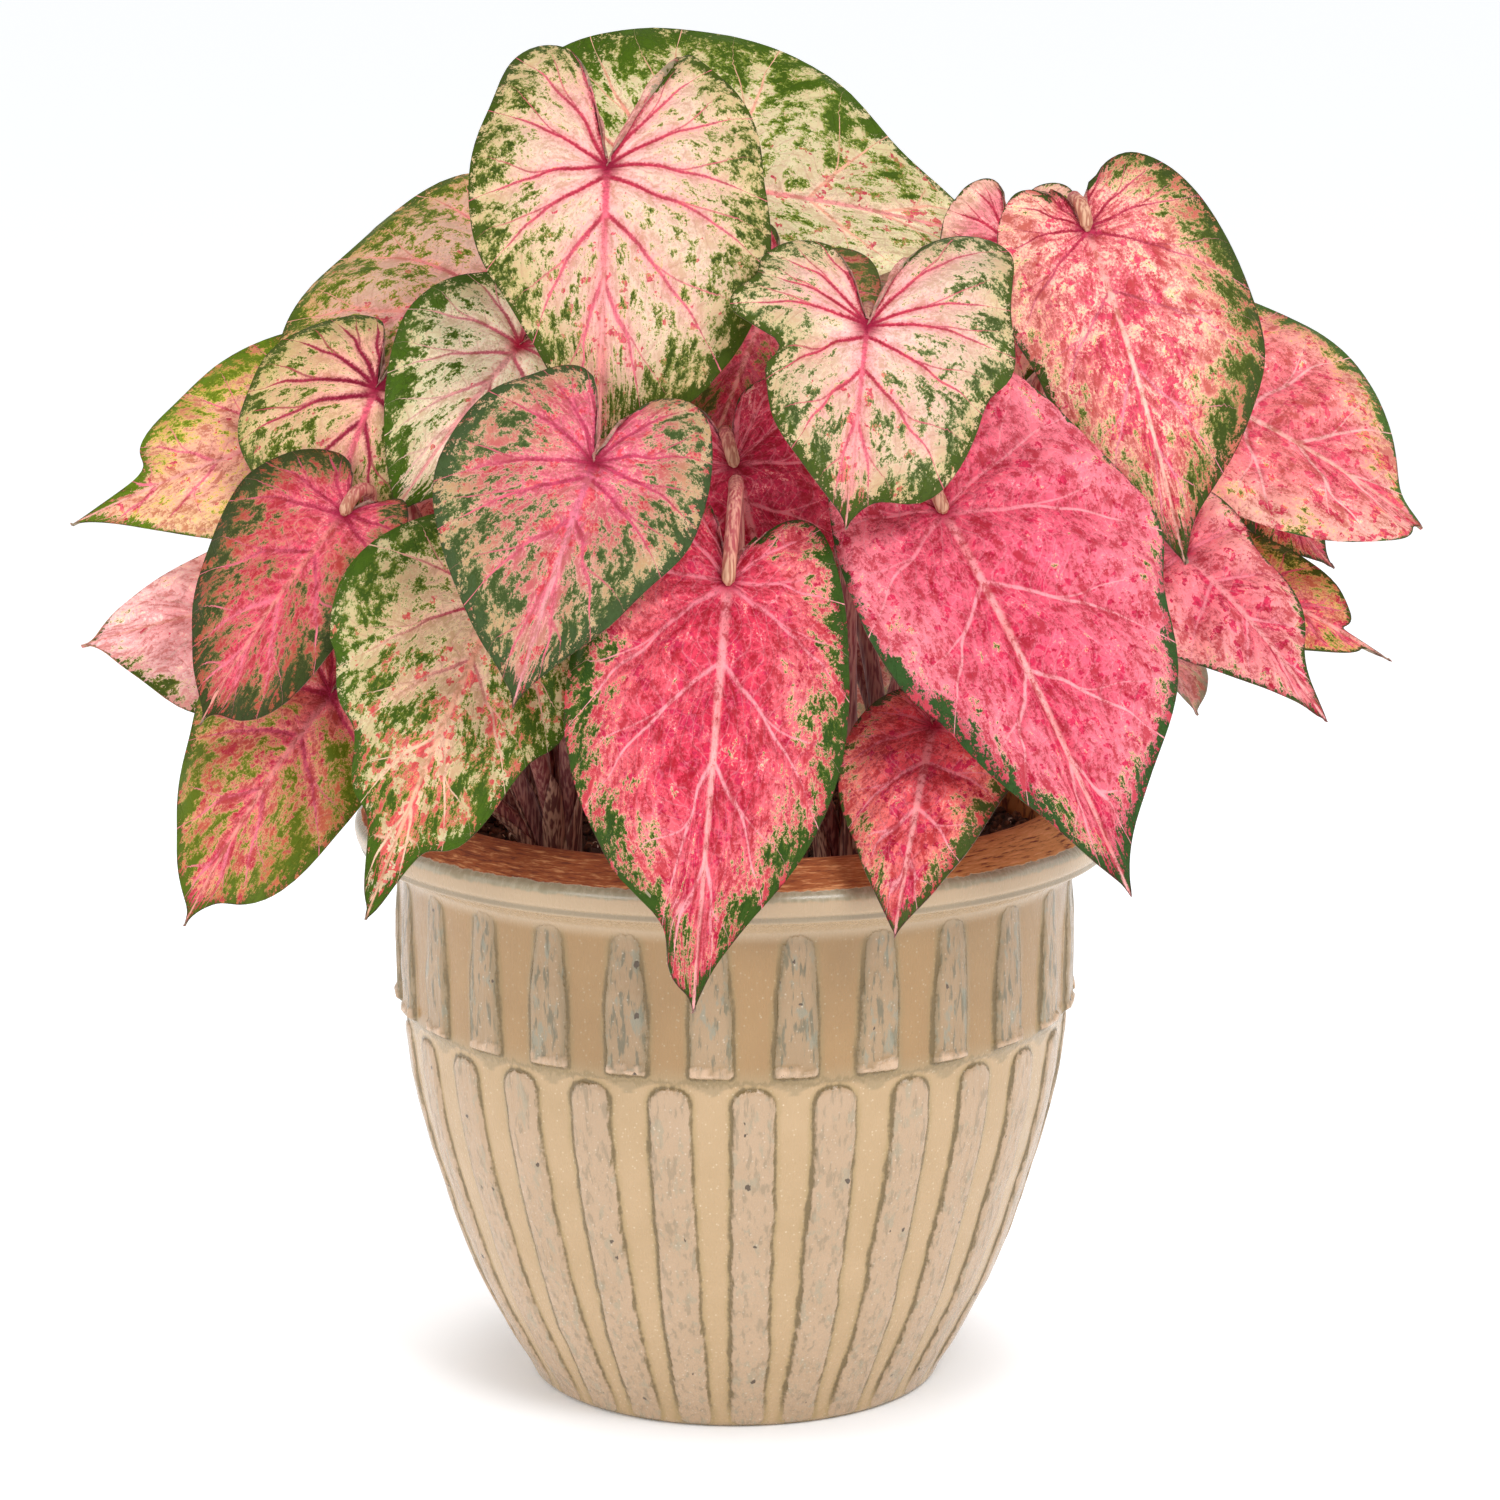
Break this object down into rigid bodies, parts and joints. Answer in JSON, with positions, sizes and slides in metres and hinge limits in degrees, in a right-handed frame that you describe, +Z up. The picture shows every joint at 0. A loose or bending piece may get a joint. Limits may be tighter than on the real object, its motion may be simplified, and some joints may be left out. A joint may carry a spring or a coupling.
{
  "type": "potted caladium",
  "caption": "Caladium house plant with mottled pink, cream and green heart-shaped leaves, in a round glazed pot with raised bars.",
  "frame": {"origin": "centre of the pot's underside, on the surface that it stands on", "axes": "+Z up, -Y towards the side with the fullest show of leaves, +X to the right as seen from that side"},
  "size_m": [0.499, 0.3578, 0.5002],
  "materials": {
    "glazed_clay": "gloss",
    "potting_soil": "matte",
    "stem": "satin",
    "pink_blade": "satin",
    "cream_blade": "satin",
    "green_blade": "satin"
  },
  "bodies": {
    "root": {"leaf_back_pale": "cream_blade", "leaf_back_top": "cream_blade", "leaf_far_left_lower": "cream_blade", "leaf_far_left_upper": "cream_blade", "leaf_far_right_lower": "green_blade", "leaf_far_right_small": "cream_blade", "leaf_far_right_upper": "cream_blade", "leaf_front_left_centre": "cream_blade", "leaf_front_left_low": "cream_blade", "leaf_front_lowest": "pink_blade", "leaf_front_right_large": "pink_blade", "leaf_front_small": "pink_blade", "leaf_front_top": "cream_blade", "leaf_left_back": "cream_blade", "leaf_left_cream": "cream_blade", "leaf_left_dark": "pink_blade", "leaf_left_low": "cream_blade", "leaf_left_middle": "cream_blade", "leaf_left_side_low": "green_blade", "leaf_middle_olive": "green_blade", "leaf_middle_pink": "pink_blade", "leaf_rear_centre": "cream_blade", "leaf_rear_left_inner": "cream_blade", "leaf_rear_left_low": "green_blade", "leaf_rear_left_middle": "cream_blade", "leaf_rear_left_top": "cream_blade", "leaf_rear_low": "cream_blade", "leaf_rear_right_inner": "cream_blade", "leaf_rear_right_middle": "cream_blade", "leaf_rear_right_top": "cream_blade", "leaf_rear_top": "cream_blade", "leaf_right_centre": "cream_blade", "leaf_right_low": "pink_blade", "leaf_right_side_low": "cream_blade", "leaf_right_side_middle": "cream_blade", "leaf_right_top": "cream_blade", "pot": "glazed_clay", "soil": "potting_soil", "stems_front_left": "stem", "stems_front_right": "stem", "stems_middle": "stem", "stems_rear_left": "stem", "stems_rear_right": "stem"}
  },
  "joints": []
}
